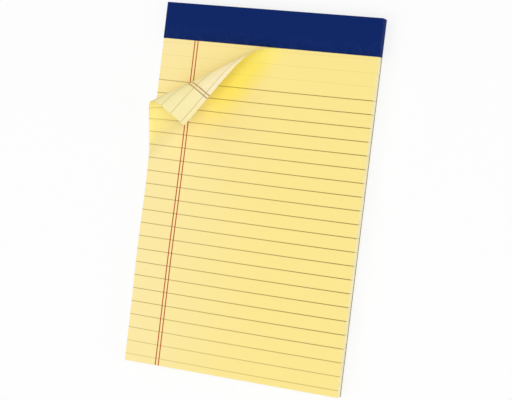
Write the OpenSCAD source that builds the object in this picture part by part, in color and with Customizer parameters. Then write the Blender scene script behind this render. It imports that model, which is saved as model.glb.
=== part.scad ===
// Junior legal pad: yellow ruled sheets on a chipboard back, wire-stitched through the head under a
// blue paper tape. The top sheet is torn along its perforation from the left and rolls over.
// Millimetres. X runs across the sheets, Y from the foot to the head, Z up from the pad's underside.

/* [Sheets] */
// Width of the sheets and of the board
sheet_w = 127; // [90:1:220]
// Length of the pad from foot to head, tape included
pad_l = 203.2; // [150:0.1:360]
// Number of sheets, the torn one included
sheet_count = 50; // [20:1:90]
// Thickness of one sheet
sheet_t = 0.1; // [0.06:0.01:0.15]

/* [Backing board] */
// Thickness of the chipboard
board_t = 1; // [0.9:0.05:2]

/* [Binding tape] */
// Thickness of the paper tape
tape_t = 0.2; // [0.1:0.05:0.3]
// How far the tape reaches down the front
tape_front = 20.4; // [16:0.1:32]
// How far the tape reaches down the back
tape_back = 20.4; // [16:0.1:32]

/* [Wire stitches] */
// Diameter of the stitching wire
wire_d = 0.5; // [0.4:0.05:0.55]
// Distance between the legs of one stitch
stitch_w = 13; // [10:0.5:18]
// Distance between the middles of the two stitches
stitch_spacing = 64; // [40:1:66]
// Distance from the head down to the wire
stitch_inset = 10; // [5:0.5:13]
// Length of each leg folded in under the board
clinch_l = 4.5; // [3:0.1:4.8]
// Clearance round the wire in the paper and board
wire_fit = 0.04; // [0.02:0.01:0.08]

/* [Torn sheet] */
// Stub left showing between the tape and the perforation
stub_show = 0.4; // [0.2:0.1:3]
// Length of the tear, from the left edge
tear_l = 76.6; // [50:0.1:85]
// How far the tear gapes at the left edge
tear_gap = 0.1; // [0.05:0.05:0.5]
// Angle between the perforation and the first line of the bend
first_bend = 48.3; // [40:0.1:55]
// How far beyond the end of the tear the bend lines would meet
bend_reach = 25.9; // [15:0.1:40]
// Total turn of the sheet from flat to its free corner
curl_turn = 203; // [150:1:210]
// How late in the roll the tightest part comes, 1 being halfway
curl_skew = 1.39; // [1:0.01:1.6]
// How much the roll is gathered round its tightest part
curl_gather = 1.22; // [0.9:0.01:1.6]

/* [Hidden] */

foot_y = -pad_l / 2;
// The stack ends inside the tape
head_y = pad_l / 2 - tape_t;
left_x = -sheet_w / 2;
right_x = sheet_w / 2;
stack_l = head_y - foot_y;
block_t = (sheet_count - 1) * sheet_t;
block_z = board_t;
top_z = block_z + block_t;
stack_top = top_z + sheet_t;
tape_front_y = pad_l / 2 - tape_front;
tape_back_y = pad_l / 2 - tape_back;
// Outside radius of the tape's folds over the head
fold_r = 2 * tape_t;
stitch_y = head_y - stitch_inset;
stitch_xs = [-stitch_spacing / 2, stitch_spacing / 2];
// Inside radius of the wire's corners is half its diameter
wire_bend_r = wire_d;
crown_z = stack_top - wire_d / 2 - wire_fit;
clinch_z = tape_t + wire_d / 2 + wire_fit;
perf_y = tape_front_y - stub_show;
overcut = 1;
wire_faces = 32;

board_color = [0.66, 0.61, 0.51];
paper_color = [0.98, 0.89, 0.55];
tape_color = [0.07, 0.16, 0.40];
wire_color = [0.72, 0.73, 0.75];

// The rolled corner is a cone: its bend lines fan out from one point beyond the end of the tear.
bends = 60;
apex_x = left_x + tear_l + bend_reach * cos(first_bend);
apex_y = perf_y + bend_reach * sin(first_bend);
apex = [apex_x, apex_y, top_z];
last_bend = atan2(apex_y - perf_y, apex_x - left_x);
bend_step = (first_bend - last_bend) / bends;

// Angle of a bend line from the perforation, on the flat sheet
function bend_angle(i) = first_bend - i * bend_step;

// How sharply the sheet turns at a share u of the roll, from its foot at 0 to its free corner at 1
function curl_shape(u) = pow(max(0, sin(180 * pow(u, curl_skew))), curl_gather);

function total(list) = list * [for (item = list) 1];

curl_sum = total([for (i = [0:bends - 1]) curl_shape((i + 0.5) / bends)]);

function bend_turn(i) = curl_turn * curl_shape((i + 0.5) / bends) / curl_sum;

// A bend holds its line's direction and the direction across it; the next one is turned up about the line
function next_bend(bend, i) =
    let (line = bend[0],
         up = cross(bend[1], line),
         across = bend[1] * cos(bend_turn(i)) + up * sin(bend_turn(i)))
    [line * cos(bend_step) + across * sin(bend_step), across * cos(bend_step) - line * sin(bend_step)];

flat_bend = [[-cos(first_bend), -sin(first_bend), 0], [-sin(first_bend), cos(first_bend), 0]];
bend_lines = [for (i = 0, bend = flat_bend; i <= bends; bend = next_bend(bend, i), i = i + 1) bend[0]];

// Where each bend line crosses the torn edge and the left edge of the sheet
function torn_point(i) = apex + bend_lines[i] * (apex_y - perf_y) / sin(bend_angle(i));

function left_point(i) = apex + bend_lines[i] * (apex_x - left_x) / cos(bend_angle(i));

function unit(v) = v / norm(v);

// Face direction of the strip above a bend line; below the first the sheet is flat
function strip_normal(i) =
    i < 0 ? [0, 0, 1] : unit(cross(bend_lines[min(i, bends - 1) + 1], bend_lines[min(i, bends - 1)]));

// Step from the underside to the face at a bend line, square to the strips on both sides
function face_step(i) =
    let (below = strip_normal(i - 1), above = strip_normal(i))
    sheet_t * (below + above) / (1 + below * above);

module stack_layer(z, t) {
    translate([left_x, foot_y, z]) cube([sheet_w, stack_l, t]);
}

// Quarter turn of wire in the XZ plane, from +X round to +Z
module wire_corner(d) {
    rotate([90, 0, 0])
        rotate_extrude(angle = 90, $fn = wire_faces)
            translate([wire_bend_r, 0]) circle(d = d, $fn = wire_faces);
}

// One half of a stitch, from the middle of its crown down a leg to the end of its clinch
module half_stitch(d) {
    leg_x = stitch_w / 2;
    bend_x = leg_x - wire_bend_r;
    leg_top = crown_z - wire_bend_r;
    leg_foot = clinch_z + wire_bend_r;
    translate([0, 0, crown_z]) rotate([0, 90, 0]) cylinder(d = d, h = bend_x, $fn = wire_faces);
    translate([bend_x, 0, leg_top]) wire_corner(d);
    translate([leg_x, 0, leg_foot]) cylinder(d = d, h = leg_top - leg_foot, $fn = wire_faces);
    translate([bend_x, 0, leg_foot]) mirror([0, 0, 1]) wire_corner(d);
    translate([bend_x - clinch_l, 0, clinch_z]) rotate([0, 90, 0]) cylinder(d = d, h = clinch_l, $fn = wire_faces);
}

module stitch(d) {
    half_stitch(d);
    mirror([1, 0, 0]) half_stitch(d);
}

// Holes and pressed grooves that the stitches leave in the stack
module stitch_cuts() {
    cut_d = wire_d + 2 * wire_fit;
    groove_l = stitch_w + cut_d;
    clinch_x = stitch_w / 2 - wire_bend_r - clinch_l - wire_fit;
    for (x = stitch_xs)
        translate([x, stitch_y, 0]) {
            stitch(cut_d);
            translate([-groove_l / 2, -cut_d / 2, crown_z]) cube([groove_l, cut_d, wire_d + overcut]);
            for (side = [0, 1])
                mirror([side, 0, 0])
                    translate([clinch_x, -cut_d / 2, tape_t - overcut])
                        cube([groove_l / 2 - clinch_x, cut_d, clinch_z + cut_d / 2 - tape_t + overcut]);
        }
}

// Chipboard back, pressed thinner where the tape is glued round it
module backing_board() {
    color(board_color)
        difference() {
            stack_layer(0, board_t);
            translate([left_x - overcut, tape_back_y, -overcut])
                cube([sheet_w + 2 * overcut, tape_back + overcut, tape_t + overcut]);
            stitch_cuts();
        }
}

// The sheets under the torn one
module sheet_block() {
    color(paper_color)
        difference() {
            stack_layer(block_z, block_t);
            stitch_cuts();
        }
}

// The torn sheet: a flat body and stub in one piece, then strips between the bend lines of the roll
module top_sheet() {
    corners = [[left_x, foot_y], [right_x, foot_y], [right_x, head_y], [left_x, head_y], [left_x, perf_y + tear_gap]];
    underside = concat(
        [for (p = corners) [p.x, p.y, top_z]],
        [for (i = [0:bends - 1]) torn_point(i)],
        [for (i = [0:bends - 1]) left_point(i)],
        [left_point(bends)]
    );
    steps = concat(
        [for (p = corners) [0, 0, sheet_t]],
        [for (i = [0:bends - 1]) face_step(i)],
        [for (i = [0:bends - 1]) face_step(i)],
        [face_step(bends)]
    );
    side = len(underside);
    torn = [for (i = [0:bends - 1]) len(corners) + i];
    left = [for (i = [0:bends - 1]) len(corners) + bends + i];
    free_corner = side - 1;
    rim = concat(
        [for (i = [0:len(corners) - 1]) i],
        torn,
        [free_corner],
        [for (i = [bends - 1:-1:0]) left[i]]
    );
    panels = concat(
        [concat([torn[0], left[0]], [for (i = [0:len(corners) - 1]) i])],
        [for (i = [0:bends - 2]) [torn[i], torn[i + 1], left[i + 1], left[i]]],
        [[torn[bends - 1], free_corner, left[bends - 1]]]
    );
    walls = [
        for (i = [0:len(rim) - 1])
            let (a = rim[i], b = rim[(i + 1) % len(rim)])
            each [[a, a + side, b + side], [a, b + side, b]]
    ];
    faces = concat(
        panels,
        [for (panel = panels) [for (i = [len(panel):-1:1]) panel[i % len(panel)] + side]],
        walls
    );
    color(paper_color)
        difference() {
            polyhedron(points = concat(underside, underside + steps), faces = faces, convexity = 6);
            stitch_cuts();
        }
}

module fold_cut() {
    difference() {
        translate([-fold_r, -fold_r]) square(fold_r + overcut);
        translate([-fold_r, -fold_r]) circle(r = fold_r, $fn = wire_faces);
    }
}

// Side view of the tape in Y and Z, its two folds rounded over the head
module tape_profile() {
    tape_top = stack_top + tape_t;
    difference() {
        polygon([
            [tape_back_y, 0],
            [pad_l / 2, 0],
            [pad_l / 2, tape_top],
            [tape_front_y, tape_top],
            [tape_front_y, stack_top],
            [tape_back_y, tape_t]
        ]);
        translate([pad_l / 2, tape_top]) fold_cut();
        translate([pad_l / 2, 0]) mirror([0, 1]) fold_cut();
    }
}

// Blue tape over the front, head and back, its ends turned down over the sides
module binding_tape() {
    reach = max(tape_front, tape_back) + overcut;
    color(tape_color)
        difference() {
            translate([left_x - tape_t, 0, 0])
                rotate([90, 0, 90])
                    linear_extrude(height = sheet_w + 2 * tape_t) tape_profile();
            translate([left_x, head_y - reach, tape_t]) cube([sheet_w, reach, stack_top - tape_t]);
        }
}

// Two wire stitches through stub and board, legs folded in under the board
module wire_stitches() {
    color(wire_color)
        for (x = stitch_xs)
            translate([x, stitch_y, 0]) stitch(wire_d);
}

backing_board();
sheet_block();
top_sheet();
binding_tape();
wire_stitches();
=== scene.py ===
import math
import random

import bmesh
import bpy
import numpy as np
from mathutils import Matrix, Vector


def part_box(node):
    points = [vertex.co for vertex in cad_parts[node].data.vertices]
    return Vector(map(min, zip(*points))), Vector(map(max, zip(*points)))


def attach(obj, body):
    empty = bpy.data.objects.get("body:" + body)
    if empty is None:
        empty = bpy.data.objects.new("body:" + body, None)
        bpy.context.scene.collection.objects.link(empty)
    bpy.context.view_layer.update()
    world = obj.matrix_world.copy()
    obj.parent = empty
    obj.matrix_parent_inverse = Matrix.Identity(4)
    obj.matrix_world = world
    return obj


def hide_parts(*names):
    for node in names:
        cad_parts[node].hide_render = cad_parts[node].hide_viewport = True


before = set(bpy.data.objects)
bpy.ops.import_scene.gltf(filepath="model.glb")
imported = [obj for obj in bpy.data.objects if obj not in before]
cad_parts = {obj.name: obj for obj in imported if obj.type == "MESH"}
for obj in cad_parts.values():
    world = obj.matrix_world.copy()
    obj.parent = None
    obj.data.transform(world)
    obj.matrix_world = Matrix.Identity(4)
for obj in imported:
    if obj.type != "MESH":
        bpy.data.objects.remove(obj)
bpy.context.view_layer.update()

mm = 0.001
stackLow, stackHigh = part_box("sheet_block")
tapeLow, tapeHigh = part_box("binding_tape")
sheetLow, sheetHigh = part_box("top_sheet")
print("frame loaded:", sorted(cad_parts))


def paint(red, green, blue):  # a colour as a picture editor gives it, made linear
    def linear(level):
        share = level / 255
        return share / 12.92 if share <= 0.04045 else ((share + 0.055) / 1.055) ** 2.4

    return (linear(red), linear(green), linear(blue), 1.0)


class Signal:  # a shader socket that works in expressions, each adding its Math nodes
    def __init__(self, finish, socket):
        self.finish = finish
        self.socket = socket

    def calc(self, operation, *values):
        return self.finish.node("ShaderNodeMath", {"operation": operation}, dict(enumerate(values)))

    def __add__(self, other):
        return self.calc("ADD", self, other)

    def __sub__(self, other):
        return self.calc("SUBTRACT", self, other)

    def __rsub__(self, other):
        return self.calc("SUBTRACT", other, self)

    def __mul__(self, other):
        return self.calc("MULTIPLY", self, other)

    def __truediv__(self, other):
        return self.calc("DIVIDE", self, other)

    def __abs__(self):
        return self.calc("ABSOLUTE", self)

    def whole(self):
        return self.calc("ROUND", self)

    def larger(self, other):
        return self.calc("MAXIMUM", self, other)

    __radd__ = __add__
    __rmul__ = __mul__


class Finish:  # one material, or the world, and the nodes it is made of
    def __init__(self, name, holders=bpy.data.materials):
        self.holder = holders.new(name)
        self.holder.use_nodes = True
        self.tree = self.holder.node_tree
        self.tree.nodes.clear()

    def node(self, kind, settings=None, sockets=None, output=0):
        made = self.tree.nodes.new(kind)
        for name, value in (settings or {}).items():
            setattr(made, name, value)
        for name, value in (sockets or {}).items():
            if isinstance(value, Signal):
                self.tree.links.new(value.socket, made.inputs[name])
            else:
                made.inputs[name].default_value = value
        return Signal(self, made.outputs[output] if made.outputs else None)

    def step(self, value, low, high):  # 0 below low, 1 above high, soft between
        edges = {"Value": value, "From Min": low, "From Max": high}
        return self.node("ShaderNodeMapRange", {"interpolation_type": "SMOOTHSTEP"}, edges)

    def mix(self, share, first, second):
        return self.node("ShaderNodeMix", {"data_type": "RGBA"}, {0: share, 6: first, 7: second}, 2)

    def noise(self, place, scale, detail=2.0, roughness=0.5, stretch=None):  # 0 to 1, 0.5 on average
        if stretch:
            place = self.stretch(place, stretch)
        sockets = {"Vector": place, "Scale": scale, "Detail": detail, "Roughness": roughness}
        return self.node("ShaderNodeTexNoise", {}, sockets)

    def stretch(self, place, factors):
        return self.node("ShaderNodeVectorMath", {"operation": "MULTIPLY"}, {0: place, 1: factors})

    def axis(self, place, index):
        return self.node("ShaderNodeSeparateXYZ", {}, {0: place}, index)

    def bump(self, height, distance, strength):
        sockets = {"Height": height, "Distance": distance, "Strength": strength}
        return self.node("ShaderNodeBump", {}, sockets)

    def geometry(self, output):
        return self.node("ShaderNodeNewGeometry", {}, {}, output)

    def flatPlace(self):  # place on the flat sheet, in millimetres
        return self.stretch(self.node("ShaderNodeUVMap", {"uv_map": "flat"}), (1 / mm,) * 3)

    def ownPlace(self):  # place in the pad's own frame, in millimetres
        return self.stretch(self.node("ShaderNodeTexCoord", {}, {}, "Object"), (1 / mm,) * 3)

    def surface(self, sockets):
        return self.node("ShaderNodeBsdfPrincipled", {}, sockets)

    def blend(self, share, first, second):
        return self.node("ShaderNodeMixShader", {}, {0: share, 1: first, 2: second})

    def seen(self):  # 1 where the camera looks, directly or by way of metal or glass
        rays = [self.node("ShaderNodeLightPath", {}, {}, "Is %s Ray" % kind)
                for kind in ("Camera", "Glossy", "Transmission")]
        return rays[0].larger(rays[1]).larger(rays[2])

    def done(self, shader, kind="ShaderNodeOutputMaterial"):
        self.node(kind, {}, {"Surface": shader})
        return self.holder


def addObject(name, data):
    made = bpy.data.objects.new(name, data)
    bpy.context.scene.collection.objects.link(made)
    return made


# Ruled paper: print on both sides, placed on the flat sheet in millimetres so that it follows the roll
ruledPaper = {
    "faceColor": paint(250, 230, 146),
    "paleLeftColor": paint(250, 232, 168),  # paler towards the left edge
    "fadeAcross": (-85.0, 25.0),
    "fadeWander": 20.0,
    "backColor": paint(255, 254, 212),
    "pulpColor": paint(214, 176, 92),
    "mottle": 0.03,
    "fibreShare": 0.6,  # of the mottle, the rest is cloud
    "fibre": {"stretch": (1.0, 2.2, 1.0), "scale": 3.2, "detail": 4.0, "roughness": 0.6},
    "cloud": {"scale": 0.07, "detail": 3.0},
    "grain": {"scale": 14.0},
    "grainDepth": 0.5,
    "reliefDepth": 0.02 * mm,
    "reliefStrength": 0.5,
    "roughness": 0.82,
    "roughVaries": 0.1,
    "shine": 0.05,
    "ruleInk": paint(138, 112, 54),
    "ruleWidth": 0.45,
    "lineSoftness": 0.06,  # a line's blurred edge
    "faceRules": {"first": 57.55, "last": -97.8, "pitch": 7.397},
    "backRules": {"first": 78.2, "last": -97.0, "pitch": 7.15},
    "headRules": {"first": 79.2, "last": 64.75, "pitch": 7.22},  # the other side's, in the blank head
    "showThrough": 0.09,  # how much of them can be seen
    "rulesEnd": 0.1,
    "leftFade": {"least": 0.66, "range": (-75.0, 70.0)},  # rules are fainter towards the left
    "footFade": {"least": 0.5, "range": (-102.0, -62.0)},  # and the foot
    "backInk": 0.5,  # and on the back
    "stray": {  # the rules aren't quite straight
        "halfWidth": 60.0,
        "halfLength": 78.0,
        "middle": -20.0,
        "rise": 0.174,
        "bow": 0.249,
        "tilt": -0.138,
        "twist": -0.05,
        "slide": -0.044,
        "gather": -0.37,
    },
    "marginLines": (-44.5, -42.63),
    "marginLean": 0.47,  # further right towards the head by this much
    "leanUp": (-70.0, 40.0),
    "faceMargin": {"ink": paint(178, 36, 0), "width": 0.64},
    "backMargin": {"ink": paint(120, 44, 12), "width": 0.52},
    "feather": {"scale": 6.0},
    "featherWidth": 0.08,
    "inkWear": {"scale": 1.7},
    "inkLeast": 0.78,
    "inkVaries": 0.3,
    "paintedBendGlow": {  # painted glow: deeper yellow where the sheet bends up beside the tear, standing in for light shining through and between the sheets
        "color": paint(255, 237, 110),
        "past": (-7.0, 7.0),
        "later": 2.6,  # starts later close to the end of the tear
        "laterAlong": (4.0, 44.0),
        "least": 0.45,  # share of it at the end of the tear
        "leastAlong": (-4.0, 24.0),
        "endAlong": (36.0, 76.0),
        "endPast": (24.0, 44.0),
    },
    "paintedLight": {  # painted light: paler where it climbs at the left edge, lifting the shade under the rolled flap
        "color": paint(255, 245, 178),
        "past": (10.0, 24.0),
        "along": (62.0, 80.0),
    },
    "backPaintedLight": {"color": paint(255, 255, 246), "along": (28.0, 48.0)},  # painted light: paler near the end of the tear, lifting the shade on the roll there
    "glow": {  # light that comes through the single sheet
        "color": paint(255, 247, 182),
        "wall": 0.46,  # share on the wall of the roll
        "wallPast": (8.0, 22.0),
        "flap": 0.34,  # share on the part that lies over
        "flapPast": (24.0, 42.0),
    },
    "stubStart": (0.02, 0.07),  # above the perforation, the stub has none of the roll's colours
}


def lineMask(finish, distance, width):  # 1 on the line, 0 off it
    soft = ruledPaper["lineSoftness"]
    return 1 - finish.step(distance, width / 2 - soft, width / 2 + soft)


def ruleMask(finish, up, rules):
    lineNumber = ((up - rules["first"]) / rules["pitch"]).whole()
    nearest = lineNumber * rules["pitch"] + rules["first"]
    soft = ruledPaper["rulesEnd"]
    lowest = rules["last"] - rules["pitch"] / 2
    highest = rules["first"] + rules["pitch"] / 2
    printed = finish.step(up, lowest, lowest + soft) * (1 - finish.step(up, highest - soft, highest))
    return lineMask(finish, abs(up - nearest), ruledPaper["ruleWidth"]) * printed


def ruleStray(across, up):
    stray = ruledPaper["stray"]
    x = across / stray["halfWidth"]
    y = (up - stray["middle"]) / stray["halfLength"]
    sideways = (stray["bow"] * x + stray["tilt"]) * x
    lengthways = (stray["gather"] * y + stray["twist"] * x + stray["slide"]) * y
    return sideways + lengthways + stray["rise"]


def printedRules(finish, face, across, up, feather, wornInk):
    if not face:
        return ruleMask(finish, up + feather, ruledPaper["backRules"]) * wornInk * ruledPaper["backInk"]
    rules = ruleMask(finish, up + feather - ruleStray(across, up), ruledPaper["faceRules"]) * wornInk
    for place, fade in ((across, ruledPaper["leftFade"]), (up, ruledPaper["footFade"])):
        rules = rules * (fade["least"] + (1 - fade["least"]) * finish.step(place, *fade["range"]))
    through = ruleMask(finish, up + feather, ruledPaper["headRules"])
    return rules.larger(through * ruledPaper["showThrough"])


def printedMargin(finish, face, across, up, feather):
    place = across + feather
    if face:
        place = place - ruledPaper["marginLean"] * finish.step(up, *ruledPaper["leanUp"])
    width = ruledPaper["faceMargin" if face else "backMargin"]["width"]
    masks = [lineMask(finish, abs(place - line), width) for line in ruledPaper["marginLines"]]
    return masks[0].larger(masks[1])


def rolledFace(finish, tone, past, along, held):
    # painted glow: a deeper yellow where the lone sheet bends up beside the tear
    paintedBendGlow = ruledPaper["paintedBendGlow"]
    later = paintedBendGlow["later"] * (1 - finish.step(along, *paintedBendGlow["laterAlong"]))
    share = finish.step(past - later, *paintedBendGlow["past"])
    share = share * (paintedBendGlow["least"] + (1 - paintedBendGlow["least"]) * finish.step(along, *paintedBendGlow["leastAlong"]))
    share = share * (1 - finish.step(along, *paintedBendGlow["endAlong"])) * (1 - finish.step(past, *paintedBendGlow["endPast"]))
    tone = finish.mix(share * held, tone, paintedBendGlow["color"])
    # painted light: paler where the sheet climbs at the left edge, in the shade under the flap
    paintedLight = ruledPaper["paintedLight"]
    share = finish.step(past, *paintedLight["past"]) * finish.step(along, *paintedLight["along"])
    return finish.mix(share * held, tone, paintedLight["color"])


def glowing(finish, shader, past, held):  # a sheet by itself lets light through
    glow = ruledPaper["glow"]
    through = finish.node("ShaderNodeBsdfTranslucent", {}, {"Color": glow["color"]})
    share = glow["wall"] * finish.step(past, *glow["wallPast"])
    share = share - (glow["wall"] - glow["flap"]) * finish.step(past, *glow["flapPast"])
    return finish.blend(share * held, shader, through)


def paperFinish(name, face, single):
    finish = Finish(name)
    flat = finish.flatPlace()
    across = finish.axis(flat, 0)
    up = finish.axis(flat, 1)
    fibre = finish.noise(flat, **ruledPaper["fibre"])
    cloud = finish.noise(flat, **ruledPaper["cloud"])
    grain = finish.noise(flat, **ruledPaper["grain"])
    feather = (finish.noise(flat, **ruledPaper["feather"]) - 0.5) * ruledPaper["featherWidth"]
    wornInk = ruledPaper["inkLeast"] + ruledPaper["inkVaries"] * finish.noise(flat, **ruledPaper["inkWear"])
    if single:
        past, along = rollPlace(across, up, mm)
        held = 1 - finish.step(up - perforation / mm, *ruledPaper["stubStart"])
    tone = ruledPaper["backColor"]
    if face:
        blendShare = 1 - finish.step(across + ruledPaper["fadeWander"] * (cloud - 0.5), *ruledPaper["fadeAcross"])
        tone = finish.mix(blendShare, ruledPaper["faceColor"], ruledPaper["paleLeftColor"])
        if single:
            tone = rolledFace(finish, tone, past, along, held)
    elif single:
        # painted light on the back of the roll near the end of the tear
        paintedLight = ruledPaper["backPaintedLight"]
        tone = finish.mix(finish.step(along, *paintedLight["along"]), paintedLight["color"], tone)
    pulp = (fibre - 0.5) * ruledPaper["fibreShare"] + (cloud - 0.5) * (1 - ruledPaper["fibreShare"])
    tone = finish.mix(ruledPaper["mottle"] * (1 + 2 * pulp), tone, ruledPaper["pulpColor"])
    rules = printedRules(finish, face, across, up, feather, wornInk)
    margin = printedMargin(finish, face, across, up, feather) * wornInk
    inked = finish.mix(rules, tone, ruledPaper["ruleInk"])
    inked = finish.mix(margin, inked, ruledPaper["faceMargin" if face else "backMargin"]["ink"])
    relief = grain * ruledPaper["grainDepth"] + fibre
    shader = finish.surface({
        "Base Color": inked,
        "Roughness": ruledPaper["roughness"] + ruledPaper["roughVaries"] * (fibre - 0.5),
        "Specular IOR Level": ruledPaper["shine"],
        "Normal": finish.bump(relief, ruledPaper["reliefDepth"], ruledPaper["reliefStrength"]),
    })
    return finish.done(glowing(finish, shader, past, held) if single else shader)


# Cut edges of the sheets: pale layers with a few nicks from the guillotine
cutEdge = {
    "color": paint(255, 252, 226),
    "deepColor": paint(255, 246, 200),
    "nickColor": paint(236, 216, 150),
    "nickShare": 0.3,
    "nickAt": (0.62, 0.74),
    "layers": {"stretch": (0.12, 0.12, 9.0), "scale": 1.0, "detail": 3.0},
    "nicks": {"stretch": (1.4, 1.4, 6.0), "scale": 1.0, "detail": 3.0},
    "roughness": 0.85,
    "roughVaries": 0.1,
    "shine": 0.2,
    "reliefDepth": 0.03 * mm,
    "reliefStrength": 0.5,
}


def cutEdgeFinish():
    finish = Finish("sheetEdge")
    place = finish.ownPlace()
    layers = finish.noise(place, **cutEdge["layers"])
    nick = finish.noise(place, **cutEdge["nicks"])
    tone = finish.mix(layers, cutEdge["deepColor"], cutEdge["color"])
    nicked = finish.step(nick, *cutEdge["nickAt"]) * cutEdge["nickShare"]
    tone = finish.mix(nicked, tone, cutEdge["nickColor"])
    shader = finish.surface({
        "Base Color": tone,
        "Roughness": cutEdge["roughness"] + cutEdge["roughVaries"] * (nick - 0.5),
        "Specular IOR Level": cutEdge["shine"],
        "Normal": finish.bump(layers + nick, cutEdge["reliefDepth"], cutEdge["reliefStrength"]),
    })
    return finish.done(shader)


faceSlot, backSlot, edgeSlot = range(3)  # order of a sheet's finishes
sharpAngle = math.radians(40)  # corners that turn more than this stay sharp


def addPaper(name, vertices, faces, finishes, slots, flats):
    mesh = bpy.data.meshes.new(name)
    mesh.from_pydata([tuple(v) for v in vertices], [], faces)
    for finish in finishes:
        mesh.materials.append(finish)
    mesh.polygons.foreach_set("material_index", slots)
    mesh.polygons.foreach_set("use_smooth", [True] * len(faces))
    corners = np.empty(len(mesh.loops), dtype=np.int64)
    mesh.loops.foreach_get("vertex_index", corners)
    layer = mesh.uv_layers.new(name="flat")
    layer.data.foreach_set("uv", np.asarray(flats, dtype=np.float32)[corners].ravel())
    mesh.validate()
    mesh.update()
    mesh.set_sharp_from_angle(angle=sharpAngle)
    piece = addObject(name, mesh)
    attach(piece, "root")
    return piece


def borderEdges(faces):  # edges that only one face has
    found = {}
    for face in faces:
        for a, b in zip(face, face[1:] + face[:1]):
            if (b, a) in found:
                del found[(b, a)]
            else:
                found[(a, b)] = True
    return list(found)


class SheetNet:  # rows of points in space, where each lies on the flat sheet, and the faces between rows
    def __init__(self):
        self.places = []
        self.flats = []
        self.faces = []

    def addRow(self, places, flatX, flatY):
        start = len(self.places)
        self.places.extend(places)
        self.flats.extend(np.stack([flatX, flatY], 1))
        return np.arange(start, start + len(flatX))

    def fill(self, rows, turned=False):
        for lower, upper in zip(rows, rows[1:]):
            for a, b, c, d in zip(lower, lower[1:], upper[1:], upper):
                self.faces.append((a, d, c, b) if turned else (a, b, c, d))

    def thicken(self, thickness):  # face, back and rim of the closed sheet
        used = sorted({index for face in self.faces for index in face})
        renumber = {old: new for new, old in enumerate(used)}
        faces = [tuple(renumber[index] for index in face) for face in self.faces]
        places = np.array(self.places)[used]
        flats = np.array(self.flats)[used]
        corners = np.array(faces)
        firstDiagonal = places[corners[:, 2]] - places[corners[:, 0]]
        crossed = np.cross(firstDiagonal, places[corners[:, 3]] - places[corners[:, 1]])
        normals = np.zeros_like(places)
        for column in range(4):
            np.add.at(normals, corners[:, column], crossed)
        normals /= np.linalg.norm(normals, axis=1, keepdims=True)
        count = len(places)
        backs = [tuple(index + count for index in reversed(face)) for face in faces]
        rims = [(b, a, a + count, b + count) for a, b in borderEdges(faces)]
        slots = [faceSlot] * len(faces) + [backSlot] * len(backs) + [edgeSlot] * len(rims)
        vertices = np.concatenate([places + normals * thickness, places])
        return vertices, faces + backs + rims, slots, np.concatenate([flats, flats])


# Torn top sheet: flat body, stub under the tape, and the corner rolled back along lines from one point
tornSheet = {
    "tearLength": 76.6 * mm,
    "tearGap": 0.1 * mm,
    "stubShow": 0.4 * mm,  # how far below the tape the perforation lies
    "thickness": 0.1 * mm,
    "firstBend": 48.3,  # degrees between the perforation and the first line of the bend
    "bendReach": 25.9 * mm,  # from the end of the tear to the point that the lines come from
    "curlTurn": 203.0,  # degrees that the sheet turns over in all
    "curlSkew": 1.39,
    "curlGather": 1.22,
    "bendSteps": 2400,
    "bluntCorner": 0.15 * mm,  # worn off the free corner
    "toothPitch": 0.85 * mm,  # perforation ties left along the tear
    "toothDepth": 0.14 * mm,
    "toothStep": 0.2125 * mm,
    "toothUneven": 0.25,
    "toothBeat": 1.37,
    "wave": 0.16 * mm,  # how far the flat part lifts off the sheet below
    "waveMiddle": 0.5,  # share of that where the ripples cross zero
    "rippleShare": 0.31,
    "rippleLengths": (31 * mm, 43 * mm),
    "rippleStarts": (0.6, 1.1),
    "crossRipple": 0.6,
    "crossLengths": (17 * mm, 58 * mm),
    "crossStart": 2.0,
    "calmMiddle": 0.35,  # share of the wave away from the side edges
    "heldAt": 70 * mm,  # no lift from here up to the tape
    "heldLength": 60 * mm,
    "leftLift": 1.1 * mm,  # how far its loose left edge stands off
    "looseFrom": -8 * mm,
    "looseWidth": 55.5 * mm,
    "billowLeast": 0.6,  # the left edge stands off most at one place
    "billowMore": 0.9,
    "billowAt": -38 * mm,
    "billowLength": 26 * mm,
    "flare": 1.05 * mm,  # how far the left edge stands out where it climbs into the roll
    "flareWidth": 22.0 * mm,
    "flareRise": (10.0 * mm, 27.0 * mm),  # past the first line of the bend
    "flareFall": (33.0 * mm, 46.0 * mm),
    "leftColumns": 44,  # of the mesh, left of the end of the tear
    "rightColumns": 24,
    "columnCrowding": 0.9,
    "bodyRows": 70,
    "stubRows": 4,
}
perforation = tapeLow.y - tornSheet["stubShow"]
tearEnd = sheetLow.x + tornSheet["tearLength"]
firstBend = math.radians(tornSheet["firstBend"])


def rollPlace(x, y, unit):  # how far past the first line of the bend, and along it from the tear
    past = (y - perforation / unit) * math.cos(firstBend) - (x - tearEnd / unit) * math.sin(firstBend)
    along = (tearEnd / unit - x) * math.cos(firstBend) + (perforation / unit - y) * math.sin(firstBend)
    return past, along


def bendLines(apex, angles):  # direction in space of each line of the bend, by its angle on the flat sheet
    steps = tornSheet["bendSteps"]
    last = math.atan2(apex[1] - perforation, apex[0] - sheetLow.x)
    share = (np.arange(steps) + 0.5) / steps
    shape = np.sin(np.pi * share ** tornSheet["curlSkew"]) ** tornSheet["curlGather"]
    turns = math.radians(tornSheet["curlTurn"]) * shape / shape.sum()
    step = (firstBend - last) / steps
    line = np.array([-math.cos(firstBend), -math.sin(firstBend), 0.0])
    across = np.array([-math.sin(firstBend), math.cos(firstBend), 0.0])
    lines = [line]
    for turn in turns:
        across = across * math.cos(turn) + np.cross(across, line) * math.sin(turn)
        line, across = (line * math.cos(step) + across * math.sin(step),
                        across * math.cos(step) - line * math.sin(step))
        lines.append(line)
    lines = np.array(lines)
    fineAngles = firstBend - step * np.arange(steps + 1)
    found = np.stack([np.interp(-angles, -fineAngles, lines[:, axis]) for axis in range(3)], 1)
    return found / np.linalg.norm(found, axis=1, keepdims=True)


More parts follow.
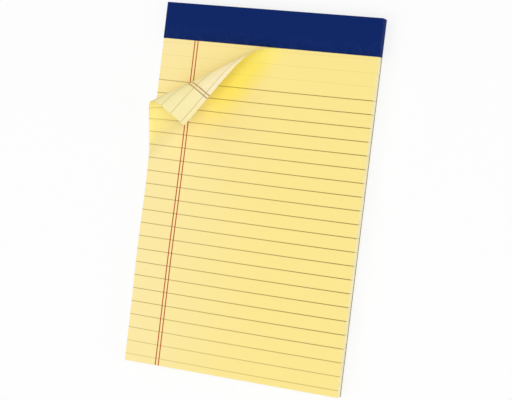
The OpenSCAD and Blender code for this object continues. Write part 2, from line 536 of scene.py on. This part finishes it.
def toothAt(along):  # ragged ties of a torn perforation, 0 to 1
    place = along / tornSheet["toothPitch"]
    uneven = tornSheet["toothUneven"]
    tie = 0.5 + 0.5 * np.cos(2 * np.pi * place)
    return tie * (1 - uneven + uneven * np.sin(place * tornSheet["toothBeat"]))


def liftAt(x, y):  # slow cockle of a sheet that lies loose, none near the tape
    lengthX, lengthY = tornSheet["rippleLengths"]
    startX, startY = tornSheet["rippleStarts"]
    crossX, crossY = tornSheet["crossLengths"]
    ripple = np.sin(x / lengthX + startX) * np.sin(y / lengthY + startY)
    ripple = ripple + tornSheet["crossRipple"] * np.sin(x / crossX - y / crossY + tornSheet["crossStart"])
    rim = tornSheet["calmMiddle"] + (1 - tornSheet["calmMiddle"]) * (np.abs(x) / sheetHigh.x) ** 3
    wave = tornSheet["wave"] * (tornSheet["waveMiddle"] + tornSheet["rippleShare"] * ripple) * rim
    loose = np.clip((tornSheet["looseFrom"] - x) / tornSheet["looseWidth"], 0, 1) ** 2
    hump = np.exp(-((y - tornSheet["billowAt"]) / tornSheet["billowLength"]) ** 2)
    billow = tornSheet["billowLeast"] + tornSheet["billowMore"] * hump
    held = np.clip((tornSheet["heldAt"] - y) / tornSheet["heldLength"], 0, 1)
    return (wave + tornSheet["leftLift"] * loose * billow) * held


def softRamp(value, low, high):
    share = np.clip((value - low) / (high - low), 0, 1)
    return share * share * (3 - 2 * share)


def flareAt(x, y):
    past = rollPlace(x, y, 1)[0]
    rise = softRamp(past, *tornSheet["flareRise"]) * (1 - softRamp(past, *tornSheet["flareFall"]))
    inFromLeft = x - sheetLow.x
    return tornSheet["flare"] * rise * np.clip(1 - inFromLeft / tornSheet["flareWidth"], 0, 1) ** 2


def makeTornSheet():
    left, right, foot, head = sheetLow.x, sheetHigh.x, sheetLow.y, sheetHigh.y
    underside = stackHigh.z
    apexX = tearEnd + tornSheet["bendReach"] * math.cos(firstBend)
    apexY = perforation + tornSheet["bendReach"] * math.sin(firstBend)
    apex = np.array([apexX, apexY, underside])
    leftCount = tornSheet["leftColumns"]
    # from the torn edge to the left edge
    shares = np.linspace(0, 1, leftCount + 1) ** tornSheet["columnCrowding"]
    columns = np.concatenate([(tearEnd + shares * (left - tearEnd))[::-1],
                              np.linspace(tearEnd, right, tornSheet["rightColumns"] + 1)[1:]])
    bodyTop = np.where(columns <= tearEnd, apex[1] - (apex[0] - columns) * math.tan(firstBend), perforation)
    bodyTop[leftCount] = perforation
    net = SheetNet()

    body = []
    for share in np.linspace(0, 1, tornSheet["bodyRows"] + 1):
        y = foot + share * (bodyTop - foot)
        body.append(net.addRow(np.stack([columns, y, underside + liftAt(columns, y)], 1), columns, y))

    stub = []
    gape = tornSheet["tearGap"] * np.clip((tearEnd - columns) / (tearEnd - left), 0, 1)
    for share in np.linspace(0, 1, tornSheet["stubRows"] + 1):
        y = perforation + gape + share * (head - perforation - gape)
        stub.append(net.addRow(np.stack([columns, y, np.full(len(columns), underside)], 1), columns, y))
    stub[0][leftCount:] = body[-1][leftCount:]  # still joined to the right of the tear

    tearCount = int(tornSheet["tearLength"] / tornSheet["toothStep"])
    tearPlaces = np.linspace(tearEnd, left + tornSheet["bluntCorner"], tearCount + 1)
    angles = np.arctan2(apex[1] - perforation, apex[0] - tearPlaces)
    lines = bendLines(apex, angles)
    roll = [body[-1][leftCount::-1]]
    # the roll is carried by the edge it grows from
    bendLift = liftAt(columns[leftCount::-1], bodyTop[leftCount::-1])
    for tearPlace, angle, line in zip(tearPlaces[1:], angles[1:], lines[1:]):
        inner = (apex[1] - perforation) / math.sin(angle)
        outer = (apex[0] - left) / math.cos(angle)
        reach = inner + shares * (outer - inner)
        bite = tornSheet["toothDepth"] * toothAt(tearEnd - tearPlace) / math.sin(angle)
        reach[0] += min(bite, 0.5 * (reach[1] - reach[0]))
        flatX = apex[0] - reach * math.cos(angle)
        flatY = apex[1] - reach * math.sin(angle)
        points = apex + reach[:, None] * line
        points[:, 0] -= flareAt(flatX, flatY)
        points[:, 2] += bendLift
        roll.append(net.addRow(points, flatX, flatY))

    net.fill(body)
    net.fill(stub)
    net.fill(roll, turned=True)
    vertices, faces, slots, flats = net.thicken(tornSheet["thickness"])
    return addPaper("torn_sheet", vertices, faces, tornFinishes, slots, flats)


edgeFinish = cutEdgeFinish()
tornFinishes = (paperFinish("tornFace", True, True), paperFinish("tornBack", False, True), edgeFinish)
stackFinishes = (paperFinish("stackFace", True, False), paperFinish("stackBack", False, False), edgeFinish)
print("paper finishes ready")

tornPiece = makeTornSheet()
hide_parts("top_sheet")
print("torn sheet:", len(tornPiece.data.polygons), "faces")


# Sheets under the torn one, each a leaf of its own, trimmed together a little unevenly
sheetStack = {
    "leafPitch": 0.1 * mm,
    "leafThickness": 0.092 * mm,
    "unevenTrim": 0.045 * mm,
    "seed": 11,
}


def makeSheetStack():
    dice = random.Random(sheetStack["seed"])
    leafCount = round((stackHigh.z - stackLow.z) / sheetStack["leafPitch"])
    vertices, faces, slots, flats = [], [], [], []
    for leaf in range(leafCount):
        top = stackHigh.z - leaf * sheetStack["leafPitch"]
        low = top - sheetStack["leafThickness"]
        trim = [dice.uniform(-1, 0) * sheetStack["unevenTrim"] for edge in range(4)]
        outline = [
            (stackLow.x - trim[0], stackLow.y - trim[1]),
            (stackHigh.x + trim[2], stackLow.y - trim[1]),
            (stackHigh.x + trim[2], stackHigh.y + trim[3]),
            (stackLow.x - trim[0], stackHigh.y + trim[3]),
        ]
        start = len(vertices)
        vertices += [(x, y, low) for x, y in outline] + [(x, y, top) for x, y in outline]
        flats += outline + outline
        faces.append(tuple(start + 4 + corner for corner in range(4)))
        faces.append(tuple(start + 3 - corner for corner in range(4)))
        for corner in range(4):
            after = (corner + 1) % 4
            faces.append((start + corner, start + after, start + 4 + after, start + 4 + corner))
        slots += [faceSlot, backSlot] + [edgeSlot] * 4
    return addPaper("sheet_stack", vertices, faces, stackFinishes, slots, flats)


stackPiece = makeSheetStack()
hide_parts("sheet_block")
print("sheet stack:", len(stackPiece.data.polygons), "faces")


# Binding tape: navy paper wrapped over the head, its folds softly rounded
bindingTape = {
    "color": paint(12, 39, 103),
    "deepColor": paint(8, 34, 95),
    "wornColor": paint(52, 74, 138),
    "wornShare": 0.3,
    "foldAt": (0.52, 0.62),  # pointiness of the folds
    "rubbedAt": (0.4, 0.75),
    "weave": {"stretch": (2.4, 9.0, 5.0), "scale": 1.0, "detail": 3.0},
    "fibre": {"scale": 7.0, "detail": 3.0, "roughness": 0.6},
    "cloud": {"scale": 0.05, "detail": 3.0},
    "rubbing": {"scale": 0.35, "detail": 3.0, "roughness": 0.6},
    "cloudShare": 0.6,  # of the tone, the rest is fibre
    "fibreDepth": 0.6,
    "roughness": 0.6,
    "roughVaries": 0.14,
    "shine": 0.04,
    "reliefDepth": 0.02 * mm,
    "reliefStrength": 0.5,
    "thickness": 0.2 * mm,
    "foldRadius": 0.45 * mm,
    "foldSteps": 5,
    "backReach": 20.4 * mm,
    "frontSkew": 0.36 * mm,  # how much lower its front edge lies at the right end
    "stitchWidth": 13.0 * mm,
    "stitchSpacing": 64.0 * mm,
    "stitchInset": 10.0 * mm,
    "ridgeHeight": 0.05 * mm,  # where the wire stitches press up from below
    "ridgeSoftness": (0.5 * mm, 0.45 * mm),  # at its ends and along it
    "ridgeCuts": (1.2 * mm, 9),  # reach and number of the mesh cuts at its ends
    "lineCuts": (1.5 * mm, 13),  # and along it
    "panelSlack": 0.01 * mm,  # what lies this close to the front counts as its panel
}
stitchLine = stackHigh.y - bindingTape["stitchInset"]


def tapeFinish():
    finish = Finish("navyTape")
    place = finish.ownPlace()
    weave = finish.noise(place, **bindingTape["weave"])
    fibre = finish.noise(place, **bindingTape["fibre"])
    cloud = finish.noise(place, **bindingTape["cloud"])
    cloudShare = bindingTape["cloudShare"]
    mottled = cloud * cloudShare + fibre * (1 - cloudShare)
    tone = finish.mix(mottled, bindingTape["deepColor"], bindingTape["color"])
    folds = finish.step(finish.geometry("Pointiness"), *bindingTape["foldAt"])
    rubbed = finish.step(finish.noise(place, **bindingTape["rubbing"]), *bindingTape["rubbedAt"])
    tone = finish.mix(folds * rubbed * bindingTape["wornShare"], tone, bindingTape["wornColor"])
    relief = weave + fibre * bindingTape["fibreDepth"]
    shader = finish.surface({
        "Base Color": tone,
        "Roughness": bindingTape["roughness"] + bindingTape["roughVaries"] * (weave - 0.5),
        "Specular IOR Level": bindingTape["shine"],
        "Normal": finish.bump(relief, bindingTape["reliefDepth"], bindingTape["reliefStrength"]),
    })
    return finish.done(shader)


def stitchRidge(x, y):  # soft ridge over the crown of each stitch
    endSoft, lineSoft = bindingTape["ridgeSoftness"]
    height = 0.0
    for side in (-1, 1):
        beyond = max(abs(x - side * bindingTape["stitchSpacing"] / 2) - bindingTape["stitchWidth"] / 2, 0)
        height += math.exp(-((beyond / endSoft) ** 2) - ((y - stitchLine) / lineSoft) ** 2)
    return bindingTape["ridgeHeight"] * height


def cutShell(shell, middle, direction, cuts):  # parallel cuts that give a ridge its mesh
    reach, count = cuts
    for offset in np.linspace(-reach, reach, count):
        everything = shell.verts[:] + shell.edges[:] + shell.faces[:]
        point = middle + direction * offset
        bmesh.ops.bisect_plane(shell, geom=everything, plane_co=point, plane_no=direction)


def makeBindingTape():
    low, high = tapeLow, tapeHigh
    backEdge = high.y - bindingTape["backReach"]
    shell = bmesh.new()
    corners = {}
    for xName, x, skew in (("left", low.x, 0), ("right", high.x, bindingTape["frontSkew"])):
        for zName, z, edge in (("front", high.z, low.y - skew), ("back", low.z, backEdge)):
            corners["%s %s edge" % (xName, zName)] = shell.verts.new((x, edge, z))
            corners["%s %s head" % (xName, zName)] = shell.verts.new((x, high.y, z))
    panels = (
        ("left front edge", "right front edge", "right front head", "left front head"),
        ("left back head", "right back head", "right back edge", "left back edge"),
        ("left front head", "right front head", "right back head", "left back head"),
        ("left front edge", "left front head", "left back head", "left back edge"),
        ("right front head", "right front edge", "right back edge", "right back head"),
    )
    for panel in panels:
        shell.faces.new([corners[name] for name in panel])
    bmesh.ops.recalc_face_normals(shell, faces=shell.faces[:])
    folds = [edge for edge in shell.edges if len(edge.link_faces) == 2]
    bmesh.ops.bevel(shell, geom=folds, offset=bindingTape["foldRadius"], segments=bindingTape["foldSteps"],
                    profile=0.5, affect="EDGES")
    cutShell(shell, Vector((0, stitchLine, 0)), Vector((0, 1, 0)), bindingTape["lineCuts"])
    for side in (-1, 1):
        for outer in (-1, 1):
            end = side * (bindingTape["stitchSpacing"] / 2 + outer * bindingTape["stitchWidth"] / 2)
            cutShell(shell, Vector((end, 0, 0)), Vector((1, 0, 0)), bindingTape["ridgeCuts"])
    for vertex in shell.verts:
        if vertex.co.z > high.z - bindingTape["panelSlack"]:
            vertex.co.z += stitchRidge(vertex.co.x, vertex.co.y)
    mesh = bpy.data.meshes.new("binding_wrap")
    shell.to_mesh(mesh)
    shell.free()
    mesh.polygons.foreach_set("use_smooth", [True] * len(mesh.polygons))
    mesh.materials.append(tapeFinish())
    piece = addObject("binding_wrap", mesh)
    solid = piece.modifiers.new("paper", "SOLIDIFY")
    solid.thickness = bindingTape["thickness"]
    solid.offset = -1
    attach(piece, "root")
    return piece


tapePiece = makeBindingTape()
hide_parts("binding_tape")
print("binding tape:", len(tapePiece.data.polygons), "faces")


# Chipboard back: grey-brown pulp with flecks, darker at its cut edges
chipboard = {
    "color": paint(176, 163, 138),
    "deepColor": paint(160, 146, 120),
    "cloud": {"scale": 0.09, "detail": 4.0, "roughness": 0.6},
    "pulp": {"stretch": (1.0, 2.4, 8.0), "scale": 1.6, "detail": 4.0, "roughness": 0.6},
    "cloudShare": 0.4,  # of the tone, the rest is pulp
    "flecks": {"stretch": (1.0, 0.4, 1.0), "scale": 2.6},
    "darkFleck": paint(112, 98, 78),
    "darkShare": 0.7,
    "darkAt": (0.66, 0.74),
    "paleFleck": paint(214, 203, 180),
    "paleShare": 0.6,
    "paleAt": (0.27, 0.34),
    "cutEdge": paint(106, 86, 60),
    "cutShare": 0.9,
    "cutAt": (0.4, 0.8),  # how upright the surface's normal is
    "fleckDepth": 0.4,
    "roughness": 0.9,
    "roughVaries": 0.1,
    "shine": 0.2,
    "reliefDepth": 0.05 * mm,
    "reliefStrength": 0.6,
}


def chipboardFinish():
    finish = Finish("chipboard")
    place = finish.ownPlace()
    cloud = finish.noise(place, **chipboard["cloud"])
    pulp = finish.noise(place, **chipboard["pulp"])
    flecks = finish.noise(place, **chipboard["flecks"])
    cloudShare = chipboard["cloudShare"]
    mottled = cloud * cloudShare + pulp * (1 - cloudShare)
    tone = finish.mix(mottled, chipboard["deepColor"], chipboard["color"])
    dark = finish.step(flecks, *chipboard["darkAt"]) * chipboard["darkShare"]
    tone = finish.mix(dark, tone, chipboard["darkFleck"])
    pale = (1 - finish.step(flecks, *chipboard["paleAt"])) * chipboard["paleShare"]
    tone = finish.mix(pale, tone, chipboard["paleFleck"])
    upright = abs(finish.axis(finish.geometry("Normal"), 2))
    cut = (1 - finish.step(upright, *chipboard["cutAt"])) * chipboard["cutShare"]
    tone = finish.mix(cut, tone, chipboard["cutEdge"])
    relief = pulp + flecks * chipboard["fleckDepth"]
    shader = finish.surface({
        "Base Color": tone,
        "Roughness": chipboard["roughness"] + chipboard["roughVaries"] * (pulp - 0.5),
        "Specular IOR Level": chipboard["shine"],
        "Normal": finish.bump(relief, chipboard["reliefDepth"], chipboard["reliefStrength"]),
    })
    return finish.done(shader)


# Stitching wire: drawn steel, marked along its length
stitchWire = {
    "color": paint(186, 188, 192),
    "drawnColor": paint(132, 134, 140),
    "drawing": {"stretch": (0.6, 14.0, 14.0), "scale": 1.0, "detail": 3.0},
    "roughness": 0.3,
    "roughVaries": 0.2,
    "reliefDepth": 0.01 * mm,
    "reliefStrength": 0.4,
}


def wireFinish():
    finish = Finish("stitchWire")
    drawn = finish.noise(finish.ownPlace(), **stitchWire["drawing"])
    shader = finish.surface({
        "Base Color": finish.mix(drawn, stitchWire["drawnColor"], stitchWire["color"]),
        "Metallic": 1.0,
        "Roughness": stitchWire["roughness"] + stitchWire["roughVaries"] * drawn,
        "Normal": finish.bump(drawn, stitchWire["reliefDepth"], stitchWire["reliefStrength"]),
    })
    return finish.done(shader)


def dressNode(name, material):
    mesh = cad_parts[name].data
    mesh.materials.clear()
    mesh.materials.append(material)


dressNode("backing_board", chipboardFinish())
dressNode("wire_stitches", wireFinish())
print("board and stitches dressed")


# Studio: white floor and soft lamps
studio = {
    "floorSize": 6.0,
    "floorColor": (0.94, 0.94, 0.94, 1.0),
    "floorDeep": (0.92, 0.92, 0.92, 1.0),
    "floorCloud": {"scale": 0.004},
    "floorRoughness": 0.9,
    "floorWhite": 0.75,  # share of plain white that the camera sees by the pad, the rest keeps the shadow
    "whiteFrom": (250.0, 800.0),  # millimetres from the pad's middle over which the floor turns all white
    "white": (1.0, 1.0, 1.0, 1.0),
    "worldLevel": 0.44,
    "lampSize": 0.9,
    "lamps": {  # place and power
        "keyLamp": ((0.32, 0.0, 1.16), 4.8),
        "sideFill": ((1.05, -0.1, 0.38), 2.7),
        "footFill": ((-0.72, -0.62, 0.8), 4.2),
        "headFill": ((-0.75, 0.6, 0.75), 2.1),
    },
}


def floorFinish():
    finish = Finish("studioFloor")
    place = finish.ownPlace()
    cloud = finish.noise(place, **studio["floorCloud"])
    shade = finish.mix(cloud, studio["floorDeep"], studio["floorColor"])
    plain = finish.surface({
        "Base Color": shade,
        "Roughness": studio["floorRoughness"],
        "Specular IOR Level": 0.0,
    })
    white = finish.node("ShaderNodeEmission", {}, {"Color": studio["white"], "Strength": 1.0})
    away = finish.node("ShaderNodeVectorMath", {"operation": "LENGTH"}, {0: place}, "Value")
    blendShare = finish.step(away, *studio["whiteFrom"])
    share = studio["floorWhite"] + (1 - studio["floorWhite"]) * blendShare
    return finish.done(finish.blend(finish.seen() * share, plain, white))


def addFloor():
    half = studio["floorSize"] / 2
    corners = [(x * half, y * half, 0) for x, y in ((-1, -1), (1, -1), (1, 1), (-1, 1))]
    mesh = bpy.data.meshes.new("studio_floor")
    mesh.from_pydata(corners, [], [(0, 1, 2, 3)])
    mesh.materials.append(floorFinish())
    addObject("studio_floor", mesh)


def addLamp(name, place, power):
    lamp = bpy.data.lights.new(name, "AREA")
    lamp.shape = "DISK"
    lamp.size = studio["lampSize"]
    lamp.energy = power
    lampObject = addObject(name, lamp)
    lampObject.location = place
    lampObject.rotation_euler = (-Vector(place)).to_track_quat("-Z", "Y").to_euler()


def addWorld():
    finish = Finish("studioAir", bpy.data.worlds)
    levels = [finish.node("ShaderNodeBackground", {}, {"Color": studio["white"], "Strength": level})
              for level in (studio["worldLevel"], 1.0)]
    bpy.context.scene.world = finish.done(finish.blend(finish.seen(), *levels), "ShaderNodeOutputWorld")


addFloor()
for lampName, (lampPlace, lampPower) in studio["lamps"].items():
    addLamp(lampName, lampPlace, lampPower)
addWorld()
bpy.context.scene.view_settings.view_transform = "Standard"
print("studio ready")


# Camera: looks down on the pad from its right, turned so that the head is at the top
camera = {
    "place": Vector((293.96, 14.26, 733.4)) * mm,
    "aim": Vector((1.36, -2.76, 0.0)) * mm,
    "roll": -86.18,
    "lens": 100.82,
    "sensor": 36.0,
}


def addCamera():
    data = bpy.data.cameras.new("camera")
    data.lens = camera["lens"]
    data.sensor_width = camera["sensor"]
    data.sensor_fit = "HORIZONTAL"
    back = (camera["place"] - camera["aim"]).normalized()
    up = (Vector((0, 0, 1)) - back * back.z).normalized()
    turned = Matrix.Rotation(math.radians(camera["roll"]), 3, back) @ up
    sideways = turned.cross(back)
    pose = Matrix((sideways, turned, back)).transposed().to_4x4()
    pose.translation = camera["place"]
    cameraObject = addObject("camera", data)
    cameraObject.matrix_world = pose
    bpy.context.scene.camera = cameraObject


addCamera()
print("camera ready")
